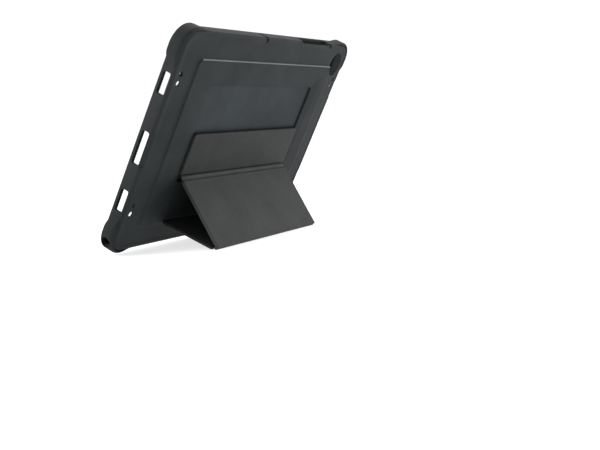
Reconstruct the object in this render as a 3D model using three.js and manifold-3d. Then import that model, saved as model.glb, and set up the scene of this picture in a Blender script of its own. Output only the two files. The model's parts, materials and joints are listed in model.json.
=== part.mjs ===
// Rugged soft-plastic case for a 10.4-inch tablet, standing on its folding stand.
// Millimetres, +Z up, the tablet's screen side faces -Y.
//
// Everything is built in the case's own frame and then leaned back as one group:
//   x  right as seen from the front      y  up along the case      z  out of the screen side
// The open rim of the tray is the plane z = 0, so the back of the case lies at negative z.
import * as THREE from 'three';
import { mergeVertices } from 'three/addons/utils/BufferGeometryUtils.js';
import Module from 'manifold-3d';

const wasm = await Module();
wasm.setup();

// ---------------------------------------------------------------- driving dimensions
const LEAN = THREE.MathUtils.degToRad(26.6); // back from upright, standing on the stand
const FIT_GAP = 0.3; // between a piece and the one it sits on
const THIN_GAP = 0.2; // between the glued layers of a panel

const tablet = { halfX: 123.8, halfY: 78.7, corner: 9 };
const wall = { halfX: 127, halfY: 82, corner: 12.5, depth: 8.6 };
const rim = { lip: 1.9, lipDepth: 1.3, chamfer: 0.8 };
const plateau = { halfX: 104.3, halfY: 63.5, corner: 5, step: 0.6, z: -12.6, edgeZ: -12.3 };
const floor = { halfX: 97, halfY: 57, corner: 6, z: -10, edgeX: 123.2, edgeY: 78.1, edgeZ: -9.2 };
const recess = { halfX: 78.8, top: 44.4, bottom: -29.5, z: -11.2 };
const gusset = { perShortSide: 5, shortPitch: 18.5, perLongSide: 10, longPitch: 17.3 };
const gussetShape = { fan: 1.3, width: 1.4, wallZ: -7.7 };
const cameraHole = { x: -110.5, y: 65, radius: 10 };
const strapHole = { x: 118.5, y: [51.3, 44.8, -45.6, -52.3], radius: 1.7 };
const sideOpening = { bottom: -8.2, top: -2.5 };
const speakers = [[35, 50.5], [-51.5, -35.5]];
const usbOpening = [-16, 8];
const buttonOpening = { from: -89, to: -39, bottom: -8.8, top: -2.4 };
const micSlit = { x: 20.5, width: 2, top: -1.9 };
const jackHole = { y: -76, z: -5.3, radius: 4.3 };
const bumper = {
  reachX: 26,
  reachY: 24,
  proud: 3.5,
  taper: 7,
  endProud: 0.9,
  cornerSteps: 10,
  // heights along the wall, each with how far the bumper stands off it
  levels: [[-11, 1.2], [-10.4, 2.5], [-9, 3.5], [-2.2, 3.5], [-1.1, 2.9], [-0.5, 1.6]],
};

const ring = { halfX: 73, top: 44.5, bottom: -37.5, chamfer: 12, width: 7, thickness: 0.3 };
const pad = { x: 69, top: 38, bottom: -31, turn: 40, side: 11.5, tip: 16 };
const padBase = { thickness: 0.4, grow: 0.6 };
const padCap = { thickness: 0.7 };
const cornerStrip = { width: 7, from: 17.5, endWidth: 4, thickness: 0.5 };
const centrePlate = { halfX: 25, top: 28, bottom: -17.5, corner: 4, thickness: 0.9 };

const panel = { width: 157, thickness: 2.4, skin: 0.5, edge: 0.9, corner: 2.5 };
const fixedPanel = { top: 8, bottom: -23.7, outerZ: -14.6 };
const tape = { thickness: 0.7, margin: 4 };
const spine = { y: -24.2, z: -14.1, length: 3.2, thickness: 0.7, restAngle: 50 };
const leg = { angle: 56.3, hingeHeight: 2.1, startGap: 0.6, endGap: 1.7 };
const foot = { radius: 1.25 };
const base = { tipY: -60.5, tipGap: 0.45, startGap: 2.7 };
const PANEL_LIFT = 0.15; // of the leg and the base off the line of the foot hinge
const magnet = { length: 22, width: 3.5, x: 45 };
const keeper = { length: 24, width: 3.6, thickness: 1, y: -61.4, z: -11.2 };

// ---------------------------------------------------------------- materials
function standard(color, roughness, metalness = 0) {
  return new THREE.MeshStandardMaterial({ color, roughness, metalness });
}
const look = {
  shell: standard(0x3c4040, 0.62),
  bumper: standard(0x3a3d3d, 0.66),
  strip: standard(0x737373, 0.5),
  plate: standard(0x8a8a8a, 0.35),
  padCap: standard(0x7abaf5, 0.5),
  padBase: standard(0x16427a, 0.55),
  leather: standard(0x4a4c4b, 0.75),
  lining: standard(0x1d1f1f, 0.85),
  board: standard(0x6b5a45, 0.9),
  tape: standard(0xd9d6cc, 0.8),
  steel: standard(0xb0b2b4, 0.35, 0.9),
};

// ---------------------------------------------------------------- solids
function toSolid(geometry) {
  const bare = geometry.index ? geometry.clone() : geometry;
  bare.deleteAttribute('normal');
  bare.deleteAttribute('uv');
  const merged = mergeVertices(bare, 1e-4);
  const vertProperties = new Float32Array(merged.attributes.position.array);
  const triVerts = new Uint32Array(merged.index.array);
  return new wasm.Manifold(new wasm.Mesh({ numProp: 3, vertProperties, triVerts }));
}

function toGeometry(solid) {
  const { vertProperties, triVerts } = solid.getMesh();
  const geometry = new THREE.BufferGeometry();
  geometry.setAttribute('position', new THREE.BufferAttribute(vertProperties, 3));
  geometry.setIndex(new THREE.BufferAttribute(triVerts, 1));
  return geometry;
}

// Joins equal rings of points, closes both ends and turns every face outward.
function loft(rings) {
  const count = rings[0].length;
  const positions = rings.flat().flatMap((p) => [p.x, p.y, p.z]);
  const indices = [];
  for (let level = 0; level < rings.length - 1; level += 1) {
    for (let i = 0; i < count; i += 1) {
      const a = level * count + i;
      const b = level * count + ((i + 1) % count);
      indices.push(a, b, b + count, a, b + count, a + count);
    }
  }
  const flat = capPlane(rings[0]);
  const last = (rings.length - 1) * count;
  for (const [a, b, c] of THREE.ShapeUtils.triangulateShape(rings[0].map(flat), [])) {
    indices.push(a, c, b);
  }
  for (const [a, b, c] of THREE.ShapeUtils.triangulateShape(rings.at(-1).map(flat), [])) {
    indices.push(last + a, last + b, last + c);
  }
  const points = rings.flat();
  const area = new THREE.Vector3();
  let volume = 0;
  for (let i = 0; i < indices.length; i += 3) {
    const [a, b, c] = [0, 1, 2].map((k) => points[indices[i + k]]);
    volume += a.dot(area.crossVectors(b, c));
  }
  const geometry = new THREE.BufferGeometry();
  geometry.setAttribute('position', new THREE.Float32BufferAttribute(positions, 3));
  geometry.setIndex(volume < 0 ? indices.reverse() : indices);
  return geometry;
}

// Two axes in the plane of a ring, for cutting its cap into triangles.
function capPlane(points) {
  const normal = new THREE.Vector3();
  for (let i = 0; i < points.length; i += 1) {
    normal.add(new THREE.Vector3().crossVectors(points[i], points[(i + 1) % points.length]));
  }
  normal.normalize();
  const seed = Math.abs(normal.z) > 0.9 ? new THREE.Vector3(1, 0, 0) : new THREE.Vector3(0, 0, 1);
  const right = seed.projectOnPlane(normal).normalize();
  const up = new THREE.Vector3().crossVectors(normal, right);
  return (p) => new THREE.Vector2(p.dot(right), p.dot(up));
}

function roundedRing(halfX, halfY, radius, z, steps = 6) {
  const points = [];
  for (let corner = 0; corner < 4; corner += 1) {
    const cx = (halfX - radius) * (corner === 0 || corner === 3 ? 1 : -1);
    const cy = (halfY - radius) * (corner < 2 ? 1 : -1);
    for (let i = 0; i <= steps; i += 1) {
      const angle = (corner + i / steps) * (Math.PI / 2);
      points.push(new THREE.Vector3(cx + radius * Math.cos(angle), cy + radius * Math.sin(angle), z));
    }
  }
  return points;
}

function roundedPlate(x0, x1, y0, y1, radius, z0, z1) {
  const at = (z) => {
    const centre = new THREE.Vector3((x0 + x1) / 2, (y0 + y1) / 2, 0);
    return roundedRing((x1 - x0) / 2, (y1 - y0) / 2, radius, z, 3).map((p) => p.add(centre));
  };
  return loft([at(z0), at(z1)]);
}

function block(x0, x1, y0, y1, z0, z1) {
  const geometry = new THREE.BoxGeometry(x1 - x0, y1 - y0, z1 - z0);
  return geometry.translate((x0 + x1) / 2, (y0 + y1) / 2, (z0 + z1) / 2);
}

function rod(radius, x, y, z0, z1, segments = 24) {
  const geometry = new THREE.CylinderGeometry(radius, radius, z1 - z0, segments);
  return geometry.rotateX(Math.PI / 2).translate(x, y, (z0 + z1) / 2);
}

function cut(target, ...tools) {
  return tools.reduce((solid, tool) => solid.subtract(toSolid(tool)), target);
}

// ---------------------------------------------------------------- the tree of pieces
const group = new THREE.Group();
const lean = new THREE.Group();
lean.rotation.x = Math.PI / 2 - LEAN;
group.add(lean);

function piece(name, geometry, material, parent = lean) {
  const mesh = new THREE.Mesh(geometry, material);
  mesh.name = name;
  parent.add(mesh);
  return mesh;
}

// ---------------------------------------------------------------- shell
// How far the tray's inner floor has risen at a point, 0 on the flat part and 1 at the wall.
function outward(x, y) {
  const byX = (Math.abs(x) - floor.halfX) / (floor.edgeX - floor.halfX);
  const byY = (Math.abs(y) - floor.halfY) / (floor.edgeY - floor.halfY);
  return THREE.MathUtils.clamp(Math.max(byX, byY), 0, 1);
}

function shellOutside() {
  const inset = rim.chamfer;
  return loft([
    roundedRing(plateau.halfX - plateau.step, plateau.halfY - plateau.step, plateau.corner, plateau.z),
    roundedRing(plateau.halfX, plateau.halfY, plateau.corner, plateau.edgeZ),
    roundedRing(wall.halfX - 3, wall.halfY - 3, wall.corner - 2.5, -wall.depth - 2.2),
    roundedRing(wall.halfX - 0.9, wall.halfY - 0.9, wall.corner - 0.9, -wall.depth - 1.3),
    roundedRing(wall.halfX, wall.halfY, wall.corner, -wall.depth),
    roundedRing(wall.halfX, wall.halfY, wall.corner, -rim.chamfer),
    roundedRing(wall.halfX - inset, wall.halfY - inset, wall.corner - inset, 0),
  ]);
}

function shellInside() {
  const room = 0.4;
  const cavityX = tablet.halfX + room;
  const cavityY = tablet.halfY + room;
  const corner = tablet.corner + room;
  const lipX = tablet.halfX - rim.lip;
  const lipY = tablet.halfY - rim.lip;
  return loft([
    roundedRing(floor.halfX, floor.halfY, floor.corner, floor.z),
    roundedRing(floor.edgeX, floor.edgeY, corner - 1, floor.edgeZ),
    roundedRing(cavityX, cavityY, corner, floor.edgeZ + 1.2),
    roundedRing(cavityX, cavityY, corner, -rim.lipDepth - 0.7),
    roundedRing(lipX, lipY, corner - 2.3, -rim.lipDepth),
    roundedRing(lipX, lipY, corner - 2.3, 1),
  ]);
}

// One low rib on the slope of the tray, from the crease of the floor out to the wall.
// along is its place on the crease; the ribs of one side spread like a fan.
function gussetRib(side, along) {
  const long = side.axis === 'y';
  const crease = long ? floor.halfY : floor.halfX;
  const end = long ? floor.edgeY + 1.5 : floor.edgeX + 1.5;
  const spread = [along, along * gussetShape.fan];
  const profile = [[crease, spread[0], floor.z], [end, spread[1], gussetShape.wallZ]];
  const rings = profile.map(([reach, centre, top]) => {
    const place = (offset, z) => {
      const across = centre + offset;
      const out = side.sign * reach;
      return long ? new THREE.Vector3(across, out, z) : new THREE.Vector3(out, across, z);
    };
    const half = gussetShape.width / 2;
    const root = floor.z - 0.8;
    return [place(-half, root), place(half, root), place(half, top), place(-half, top)];
  });
  return loft(rings);
}

function gussetRibs() {
  const sides = [
    { axis: 'x', sign: 1, count: gusset.perShortSide, pitch: gusset.shortPitch },
    { axis: 'x', sign: -1, count: gusset.perShortSide, pitch: gusset.shortPitch },
    { axis: 'y', sign: 1, count: gusset.perLongSide, pitch: gusset.longPitch },
    { axis: 'y', sign: -1, count: gusset.perLongSide, pitch: gusset.longPitch },
  ];
  const ribs = [];
  for (const side of sides) {
    for (let i = 0; i < side.count; i += 1) {
      ribs.push(gussetRib(side, (i - (side.count - 1) / 2) * side.pitch));
    }
  }
  return ribs;
}

function jackCutter() {
  const along = new THREE.CylinderGeometry(jackHole.radius, jackHole.radius, 24, 24);
  return along.rotateZ(Math.PI / 2).translate(126, jackHole.y, jackHole.z);
}

function keeperPocket(x) {
  const room = FIT_GAP;
  const halfLength = keeper.length / 2 + room;
  const halfWidth = keeper.width / 2 + room;
  const spanX = [x - halfLength, x + halfLength];
  const spanY = [keeper.y - halfWidth, keeper.y + halfWidth];
  return block(...spanX, ...spanY, keeper.z - room, -6);
}

function shell() {
  const outside = toSolid(shellOutside());
  const inside = toSolid(shellInside());
  let solid = outside.subtract(inside);
  for (const rib of gussetRibs()) {
    solid = solid.add(toSolid(rib));
  }
  const { bottom, top } = sideOpening;
  const throughWall = [118, 135];
  const cutters = [
    block(-recess.halfX, recess.halfX, recess.bottom, recess.top, plateau.z - 2, recess.z),
    rod(cameraHole.radius, cameraHole.x, cameraHole.y, -20, 2, 36),
    block(buttonOpening.from, buttonOpening.to, 76, 88, buttonOpening.bottom, buttonOpening.top),
    block(micSlit.x - micSlit.width / 2, micSlit.x + micSlit.width / 2, 77, 88, -20, micSlit.top),
    block(...throughWall, ...usbOpening, bottom, top),
    jackCutter(),
    keeperPocket(-magnet.x),
    keeperPocket(magnet.x),
  ];
  for (const [from, to] of speakers) {
    cutters.push(block(...throughWall, from, to, bottom, top));
    cutters.push(block(-throughWall[1], -throughWall[0], from, to, bottom, top));
  }
  for (const y of strapHole.y) {
    cutters.push(rod(strapHole.radius, strapHole.x, y, -20, -5, 10));
    cutters.push(rod(strapHole.radius, -strapHole.x, y, -20, -5, 10));
  }
  return toGeometry(cut(solid, ...cutters));
}

piece('shell', shell(), look.shell);

// ---------------------------------------------------------------- corner bumpers
// Points along the shell's outer corner, each with its outward direction and its distance from
// the nearer end of the bumper.
function cornerPath() {
  const { halfX, halfY, corner } = wall;
  const stations = [];
  const cx = halfX - corner;
  const cy = halfY - corner;
  const legs = { y: bumper.reachY - corner, x: bumper.reachX - corner };
  for (const fromEnd of [0, bumper.taper / 3, (bumper.taper * 2) / 3, bumper.taper]) {
    stations.push({ x: halfX, y: cy - legs.y + fromEnd, nx: 1, ny: 0, fromEnd });
  }
  for (let i = 0; i <= bumper.cornerSteps; i += 1) {
    const angle = ((i / bumper.cornerSteps) * Math.PI) / 2;
    const nx = Math.cos(angle);
    const ny = Math.sin(angle);
    stations.push({ x: cx + corner * nx, y: cy + corner * ny, nx, ny, fromEnd: bumper.taper });
  }
  for (const fromEnd of [bumper.taper, (bumper.taper * 2) / 3, bumper.taper / 3, 0]) {
    stations.push({ x: cx - legs.x + fromEnd, y: halfY, nx: 0, ny: 1, fromEnd });
  }
  return stations;
}

function bumperRing(z, proud, signX, signY) {
  const stations = cornerPath();
  const place = (s, out) => new THREE.Vector3(signX * (s.x + s.nx * out), signY * (s.y + s.ny * out), z);
  const outer = stations.map((s) => {
    const rise = THREE.MathUtils.smoothstep(s.fromEnd, 0, bumper.taper);
    const low = Math.min(bumper.endProud, proud);
    return place(s, low + (proud - low) * rise);
  });
  const inner = stations.map((s) => place(s, FIT_GAP)).reverse();
  return [...outer, ...inner];
}

function cornerBumper(signX, signY) {
  const solid = toSolid(loft(bumper.levels.map(([z, proud]) => bumperRing(z, proud, signX, signY))));
  const hasJack = signX > 0 && signY < 0;
  return toGeometry(hasJack ? cut(solid, jackCutter()) : solid);
}

const corners = [
  { name: 'top_right', signX: 1, signY: 1 },
  { name: 'top_left', signX: -1, signY: 1 },
  { name: 'bottom_left', signX: -1, signY: -1 },
  { name: 'bottom_right', signX: 1, signY: -1 },
];
for (const { name, signX, signY } of corners) {
  piece(`corner_bumper_${name}`, cornerBumper(signX, signY), look.bumper);
}

// ---------------------------------------------------------------- inside the tray
const onFloor = floor.z + THIN_GAP;

function octagon(halfX, y0, y1, chamfer) {
  const points = [
    [halfX, y0 + chamfer], [halfX, y1 - chamfer], [halfX - chamfer, y1], [chamfer - halfX, y1],
    [-halfX, y1 - chamfer], [-halfX, y0 + chamfer], [chamfer - halfX, y0], [halfX - chamfer, y0],
  ];
  return points.map(([x, y]) => new THREE.Vector2(x, y));
}

function floorRing() {
  const half = ring.width / 2;
  const outer = octagon(ring.halfX + half, ring.bottom - half, ring.top + half, ring.chamfer + 1.5);
  const inner = octagon(ring.halfX - half, ring.bottom + half, ring.top - half, ring.chamfer - 1.5);
  const shape = new THREE.Shape(outer);
  shape.holes.push(new THREE.Path(inner));
  const geometry = new THREE.ExtrudeGeometry(shape, { depth: ring.thickness, bevelEnabled: false });
  return geometry.translate(0, 0, onFloor);
}
piece('floor_ring', floorRing(), look.strip);

// A three-sided pad with its corners cut off; the first cut corner points along +x.
function padOutline(grow) {
  const side = pad.side + grow;
  const tip = pad.tip + grow;
  const points = [];
  for (let i = 0; i < 3; i += 1) {
    const along = (i * 2 * Math.PI) / 3;
    const toLeft = along + Math.PI / 3;
    const toRight = along - Math.PI / 3;
    for (const normal of [toRight, toLeft]) {
      const sweep = Math.sign(Math.sin(normal - along));
      const offset = (side - tip * Math.cos(normal - along)) / Math.sin(Math.PI / 3);
      const x = tip * Math.cos(along) - sweep * offset * Math.sin(along);
      const y = tip * Math.sin(along) + sweep * offset * Math.cos(along);
      points.push(new THREE.Vector2(x, y));
    }
  }
  return points;
}

function padPlate(grow, z0, z1) {
  const shape = new THREE.Shape(padOutline(grow));
  const geometry = new THREE.ExtrudeGeometry(shape, { depth: z1 - z0, bevelEnabled: false });
  return geometry.translate(0, 0, z0);
}

const padBaseZ = onFloor + ring.thickness + THIN_GAP;
const padCapZ = padBaseZ + padBase.thickness + THIN_GAP;
for (const { name, signX, signY } of corners) {
  const y = signY > 0 ? pad.top : pad.bottom;
  const turn = Math.atan2(signY * Math.sin(THREE.MathUtils.degToRad(pad.turn)), signX);
  const place = new THREE.Group();
  place.position.set(signX * pad.x, y, 0);
  place.rotation.z = turn;
  lean.add(place);
  const base = padPlate(padBase.grow, padBaseZ, padBaseZ + padBase.thickness);
  const cap = padPlate(0, padCapZ, padCapZ + padCap.thickness);
  piece(`pad_base_${name}`, base, look.padBase, place);
  piece(`pad_cap_${name}`, cap, look.padCap, place);
}

// The strip from a pad to its corner of the tray, climbing the slope of the floor.
function stripToCorner(signX, signY) {
  const start = new THREE.Vector2(pad.x, signY > 0 ? pad.top : -pad.bottom);
  const end = new THREE.Vector2(tablet.halfX - 11, tablet.halfY - 9);
  const heading = end.clone().sub(start).normalize();
  const across = new THREE.Vector2(-heading.y, heading.x);
  const length = end.distanceTo(start);
  const stations = [cornerStrip.from, 28, 32, 40, length];
  const rings = stations.map((distance) => {
    const t = (distance - cornerStrip.from) / (length - cornerStrip.from);
    const half = THREE.MathUtils.lerp(cornerStrip.width, cornerStrip.endWidth, t) / 2;
    const centre = start.clone().addScaledVector(heading, distance);
    const rise = outward(centre.x, centre.y) * (floor.edgeZ - floor.z);
    const bottom = onFloor + rise + (distance > cornerStrip.from ? 0.15 : 0);
    const corner = (side, z) => {
      const p = centre.clone().addScaledVector(across, side * half);
      return new THREE.Vector3(signX * p.x, signY * p.y, z);
    };
    const top = bottom + cornerStrip.thickness;
    return [corner(-1, bottom), corner(1, bottom), corner(1, top), corner(-1, top)];
  });
  return loft(rings);
}
for (const { name, signX, signY } of corners) {
  const strip = toSolid(stripToCorner(signX, signY));
  const clearOfHole = rod(cameraHole.radius + 1.5, cameraHole.x, cameraHole.y, -20, 2, 36);
  piece(`corner_strip_${name}`, toGeometry(cut(strip, clearOfHole)), look.strip);
}

const plateBounds = [-centrePlate.halfX, centrePlate.halfX, centrePlate.bottom, centrePlate.top];
const plateTop = onFloor + centrePlate.thickness;
piece('centre_plate', roundedPlate(...plateBounds, centrePlate.corner, onFloor, plateTop), look.plate);

for (const [name, x] of [['left', -magnet.x], ['right', magnet.x]]) {
  const bounds = [x - keeper.length / 2, x + keeper.length / 2];
  const spanY = [keeper.y - keeper.width / 2, keeper.y + keeper.width / 2];
  const plate = block(...bounds, ...spanY, keeper.z, keeper.z + keeper.thickness);
  piece(`keeper_plate_${name}`, plate, look.steel);
}

// ---------------------------------------------------------------- stand panels
// A panel lies between y0 and y1 with its good face on the high side: a skin turned over at the edges, a
// board inside it and a lining over the open side.
function panelSkin(y0, y1, z0, z1) {
  const half = panel.width / 2;
  const { edge, skin, corner } = panel;
  const body = toSolid(roundedPlate(-half, half, y0, y1, corner, z0, z1));
  const inner = [edge - half, half - edge, y0 + edge, y1 - edge];
  const pocket = roundedPlate(...inner, corner - edge, z0 - 1, z1 - skin);
  return toGeometry(cut(body, pocket));
}

function panelLayer(y0, y1, z0, z1) {
  const inset = panel.edge + THIN_GAP;
  const half = panel.width / 2 - inset;
  return roundedPlate(-half, half, y0 + inset, y1 - inset, panel.corner - inset, z0, z1);
}

function addPanel(prefix, parent, y0, y1, low, high, boardCuts = []) {
  const lining = low + panel.skin;
  const board = [lining + THIN_GAP, high - panel.skin - THIN_GAP];
  piece(`${prefix}_cover`, panelSkin(y0, y1, low, high), look.leather, parent);
  const core = toSolid(panelLayer(y0, y1, ...board));
  piece(`${prefix}_board`, toGeometry(cut(core, ...boardCuts)), look.board, parent);
  piece(`${prefix}_lining`, panelLayer(y0, y1, low, lining), look.lining, parent);
  return board;
}

// Directions in the y-z plane, given as degrees outward from straight down the back.
function backward(degrees) {
  const angle = THREE.MathUtils.degToRad(degrees);
  return new THREE.Vector3(0, -Math.cos(angle), -Math.sin(angle));
}

function pivot(name, position, direction, parent) {
  const hinge = new THREE.Group();
  hinge.name = name;
  hinge.position.copy(position);
  hinge.rotation.x = Math.atan2(direction.z, direction.y);
  parent.add(hinge);
  return hinge;
}

// Fixed panel, glued into the recess. Its good face looks backwards, so it is turned over.
const fixed = new THREE.Group();
fixed.rotation.y = Math.PI;
lean.add(fixed);
const innerFace = -fixedPanel.outerZ - panel.thickness;
addPanel('fixed_panel', fixed, fixedPanel.bottom, fixedPanel.top, innerFace, -fixedPanel.outerZ);

const tapeHalf = panel.width / 2 - tape.margin;
const tapeSpan = [fixedPanel.bottom + tape.margin, fixedPanel.top - tape.margin];
const tapeTop = -innerFace + THIN_GAP + tape.thickness;
piece('mounting_tape', block(-tapeHalf, tapeHalf, ...tapeSpan, -innerFace + THIN_GAP, tapeTop), look.tape);

// Spine: the narrow strip between the two creases.
const upperCrease = new THREE.Vector3(0, spine.y, spine.z);
const spineHinge = pivot('spine_hinge', upperCrease, backward(spine.restAngle), lean);
const spineHalf = panel.width / 2 - 0.5;
const spineSpan = [0.5, spine.length - 0.5];
const spineStrip = block(-spineHalf, spineHalf, ...spineSpan, -spine.thickness / 2, spine.thickness / 2);
piece('spine_strip', spineStrip, look.leather, spineHinge);

// Leg: long enough for the foot to stand on the same plane as the bottom bumpers.
const lowerCrease = upperCrease.clone().addScaledVector(backward(spine.restAngle), spine.length);
const upright = new THREE.Vector3(0, Math.cos(LEAN), Math.sin(LEAN));
const legWay = backward(leg.angle);
const legNormal = new THREE.Vector3(0, -legWay.z, legWay.y);
const bumperLow = lowestOf('corner_bumper_bottom_left');
const creaseOnLegLine = lowerCrease.clone().addScaledVector(legNormal, -leg.hingeHeight);
const legLength = (bumperLow + foot.radius - creaseOnLegLine.dot(upright)) / legWay.dot(upright);
const footPoint = creaseOnLegLine.clone().addScaledVector(legWay, legLength);

function lowestOf(name) {
  const { position } = lean.getObjectByName(name).geometry.attributes;
  let lowest = Infinity;
  for (let i = 0; i < position.count; i += 1) {
    lowest = Math.min(lowest, new THREE.Vector3().fromBufferAttribute(position, i).dot(upright));
  }
  return lowest;
}

const legHinge = pivot('leg_hinge', lowerCrease, legWay, lean);
const legBottom = PANEL_LIFT - leg.hingeHeight;
const legSpan = [leg.startGap, legLength - leg.endGap];
addPanel('leg', legHinge, ...legSpan, legBottom, legBottom + panel.thickness);

const bead = new THREE.CylinderGeometry(foot.radius, foot.radius, panel.width - 2, 16);
bead.rotateZ(Math.PI / 2).translate(0, legLength, -leg.hingeHeight);
piece('foot_hinge', bead, look.leather, legHinge);

// Base panel: from the foot forward to the back of the case, good face down.
const tipPoint = new THREE.Vector3(0, base.tipY, plateau.z - base.tipGap);
const baseWay = tipPoint.clone().sub(footPoint).normalize();
const baseLength = tipPoint.distanceTo(footPoint);
const baseHinge = pivot('base_hinge', footPoint, baseWay, lean);
const baseFace = PANEL_LIFT + panel.thickness;
const baseEnd = baseLength - 0.2;
const magnetSpan = [baseEnd - panel.edge - THIN_GAP - magnet.width, baseEnd - panel.edge - THIN_GAP];
const magnetSeats = [-magnet.x, magnet.x].map((x) => {
  const half = magnet.length / 2 + THIN_GAP;
  return block(x - half, x + half, magnetSpan[0] - THIN_GAP, magnetSpan[1] + 2, -1, 4);
});
const seat = addPanel('base', baseHinge, base.startGap, baseEnd, PANEL_LIFT, baseFace, magnetSeats);
for (const [name, x] of [['left', -magnet.x], ['right', magnet.x]]) {
  const bar = block(x - magnet.length / 2, x + magnet.length / 2, ...magnetSpan, ...seat);
  piece(`tip_magnet_${name}`, bar, look.steel, baseHinge);
}

// ---------------------------------------------------------------- on its standing plane
// The origin is the middle of the whole object's footprint box, on the surface it stands on.
const box = new THREE.Box3().setFromObject(group, true);
const middle = box.getCenter(new THREE.Vector3());
lean.position.set(-middle.x, -middle.y, -box.min.z);

export default group;
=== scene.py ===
"""Looks for the rugged tablet case on its folding stand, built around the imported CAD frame.

Shapes are given in millimetres in the case's own frame, as in the CAD source:
x right as seen from the front, y up along the case, z out of the open screen side.
"""

import json
import math

import bpy
import numpy as np
from mathutils import Matrix, Vector


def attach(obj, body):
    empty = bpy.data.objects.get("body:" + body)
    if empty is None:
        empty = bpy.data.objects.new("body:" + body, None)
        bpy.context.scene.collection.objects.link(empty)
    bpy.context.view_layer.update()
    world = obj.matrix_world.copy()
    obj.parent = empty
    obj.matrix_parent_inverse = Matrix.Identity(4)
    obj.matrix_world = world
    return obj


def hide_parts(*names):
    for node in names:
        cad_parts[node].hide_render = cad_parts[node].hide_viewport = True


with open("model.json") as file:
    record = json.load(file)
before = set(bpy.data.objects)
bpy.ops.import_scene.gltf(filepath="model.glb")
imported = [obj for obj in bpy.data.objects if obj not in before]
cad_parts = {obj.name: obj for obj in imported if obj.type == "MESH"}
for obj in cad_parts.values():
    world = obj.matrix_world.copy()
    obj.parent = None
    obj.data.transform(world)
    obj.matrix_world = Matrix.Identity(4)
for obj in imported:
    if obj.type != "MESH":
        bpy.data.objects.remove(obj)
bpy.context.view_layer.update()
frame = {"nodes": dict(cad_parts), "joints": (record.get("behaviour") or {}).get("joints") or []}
MM = 0.001

# ---------------------------------------------------------------- driving dimensions, mm
LEAN = math.radians(26.6)
TABLET_X, TABLET_Y, TABLET_CORNER = 123.8, 78.7, 9.0
WALL_X, WALL_Y, WALL_CORNER, WALL_DEPTH = 127.0, 82.0, 12.5, 8.6
LIP, LIP_DEPTH = 1.9, 1.3
PLATEAU_X, PLATEAU_Y, PLATEAU_CORNER = 104.3, 63.5, 5.0
PLATEAU_Z, PLATEAU_STEP = -12.6, 1.2
CREASE_X, CREASE_Y, CREASE_CORNER, FLOOR_Z = 97.0, 57.0, 6.0, -10.0
FLOOR_EDGE_X, FLOOR_EDGE_Y, FLOOR_EDGE_Z = 123.2, 78.1, -9.75
RIB_TOP, RIB_FOOT = 2.1, 0.12
BACK_ROUND_X, BACK_ROUND_Z = 3.0, 2.2
CAVITY_GAP = 0.4
SHELL_SHARP = 30.0
RECESS_X, RECESS_TOP, RECESS_BOTTOM, RECESS_Z = 78.8, 44.4, -29.5, -11.2
CAMERA_HOLE = (-110.5, 65.0, 10.0)
CAMERA_RIM_Z = -11.4
STRAP_X, STRAP_Y, STRAP_RADIUS = 118.5, (51.3, 44.8, -45.6, -52.3), 1.7
SIDE_LOW, SIDE_HIGH = -8.2, -2.5
SPEAKERS = ((35.0, 50.5), (-51.5, -35.5))
USB = (-16.0, 8.0)
BUTTONS = (-89.0, -39.0, -8.8, -2.4)
MIC_X, MIC_WIDTH, MIC_TOP = 20.5, 2.0, -1.9
JACK_Y, JACK_Z, JACK_RADIUS = -76.0, -5.3, 4.3
PANEL_WIDTH, PANEL_THICK, PANEL_SKIN, PANEL_EDGE = 157.0, 2.4, 0.5, 0.9
FIXED_BOTTOM, FIXED_TOP, FIXED_LOW, FIXED_HIGH = -23.7, 8.0, 12.2, 14.6
SPINE_Y, SPINE_Z, SPINE_LENGTH, SPINE_ANGLE = -24.2, -14.1, 3.2, 50.0
LEG_ANGLE, LEG_HINGE_HEIGHT = 56.3, 2.1
LEG_START, LEG_TOE = 0.8, 3.3
PANEL_LIFT = 0.15
FOOT_RADIUS = 1.25
TIP_Y, TIP_GAP = -60.5, 0.45

# ---------------------------------------------------------------- frames
JOINTS = {joint["name"]: joint for joint in frame["joints"]}


def joint_place(name):
    return Vector(JOINTS[name]["pos_m"])


def basis(x_axis, y_axis, origin):
    """A frame in metres for points given in millimetres."""
    z_axis = x_axis.cross(y_axis)
    turn = Matrix((x_axis, y_axis, z_axis)).transposed().to_4x4()
    return Matrix.Translation(origin) @ turn @ Matrix.Scale(MM, 4)


RIGHT = Vector((1, 0, 0))
UP = Vector((0, math.sin(LEAN), math.cos(LEAN)))
OUT = RIGHT.cross(UP)
CASE = basis(RIGHT, UP, joint_place("spine_fold") - (UP * SPINE_Y + OUT * SPINE_Z) * MM)


def backward(degrees):
    """A direction given as degrees outward from straight down the back of the case."""
    angle = math.radians(degrees)
    return -UP * math.cos(angle) - OUT * math.sin(angle)


SPINE = basis(RIGHT, backward(SPINE_ANGLE), joint_place("spine_fold"))
LEG = basis(RIGHT, backward(LEG_ANGLE), SPINE @ Vector((0, SPINE_LENGTH, 0)))
FOOT_IN_LEG = LEG.inverted() @ joint_place("base_fold")
LEG_LENGTH = FOOT_IN_LEG.y
TIP = CASE @ Vector((0, TIP_Y, PLATEAU_Z - TIP_GAP))
BASE_WAY = TIP - joint_place("base_fold")
BASE_LENGTH = BASE_WAY.length / MM
BASE = basis(RIGHT, BASE_WAY.normalized(), joint_place("base_fold"))


# ---------------------------------------------------------------- mesh tools
def new_piece(name, points, faces, place, sharp=38.0):
    mesh = bpy.data.meshes.new(name)
    moved = np.asarray(points, float) @ np.array(place.to_3x3().transposed()) + np.array(place.translation)
    mesh.from_pydata(moved.tolist(), [], faces)
    mesh.validate()
    mesh.update()
    piece = bpy.data.objects.new(name, mesh)
    bpy.context.scene.collection.objects.link(piece)
    smooth(piece, sharp)
    return piece


def smooth(piece, sharp):
    piece.data.shade_smooth()
    piece.data.set_sharp_from_angle(angle=math.radians(sharp))


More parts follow.
